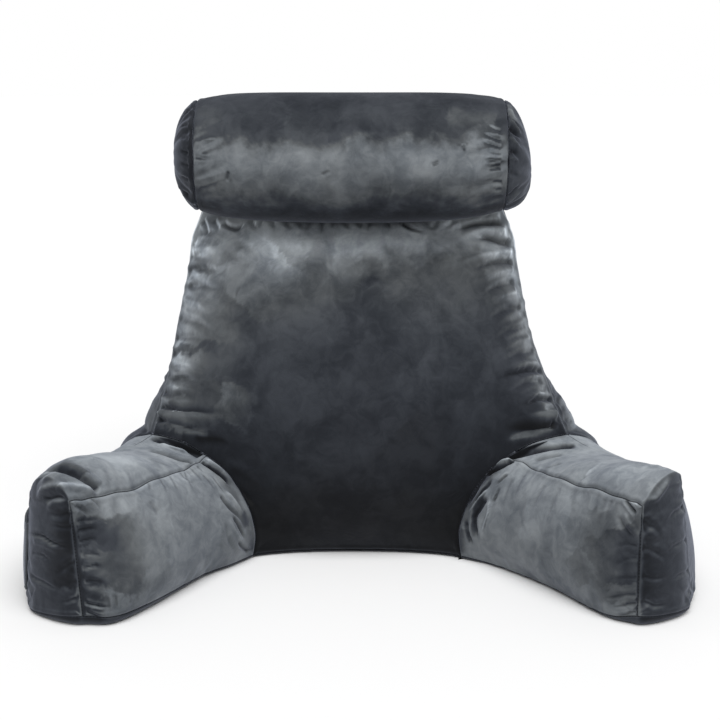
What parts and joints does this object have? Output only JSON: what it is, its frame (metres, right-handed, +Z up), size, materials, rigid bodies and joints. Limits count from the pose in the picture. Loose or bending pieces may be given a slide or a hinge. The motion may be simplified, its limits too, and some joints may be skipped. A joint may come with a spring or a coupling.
{
  "type": "reading pillow with arms",
  "caption": "Stuffed reading pillow: a crowned backrest that narrows to the top, splayed boxed arms, a neck roll lying along the top edge and a patch pocket on one arm.",
  "frame": {"origin": "middle of the footprint at floor level", "axes": "+Z up, -Y towards the side where the person sits and the arms reach forward, +X towards the arm that has no pocket"},
  "size_m": [0.7239, 0.4256, 0.5213],
  "materials": {
    "back_cushion_velvet": "soft short-pile velvet",
    "arm_left_velvet": "soft short-pile velvet",
    "arm_right_velvet": "soft short-pile velvet",
    "neck_roll_velvet": "soft short-pile velvet",
    "neck_roll_cap_left_velvet": "soft short-pile velvet",
    "neck_roll_cap_right_velvet": "soft short-pile velvet",
    "side_pocket_left_velvet": "soft short-pile velvet"
  },
  "bodies": {
    "root": {"back_cushion": "back_cushion_velvet", "arm_left": "arm_left_velvet", "arm_right": "arm_right_velvet", "neck_roll": "neck_roll_velvet", "neck_roll_cap_left": "neck_roll_cap_left_velvet", "neck_roll_cap_right": "neck_roll_cap_right_velvet", "side_pocket_left": "side_pocket_left_velvet"}
  },
  "joints": []
}
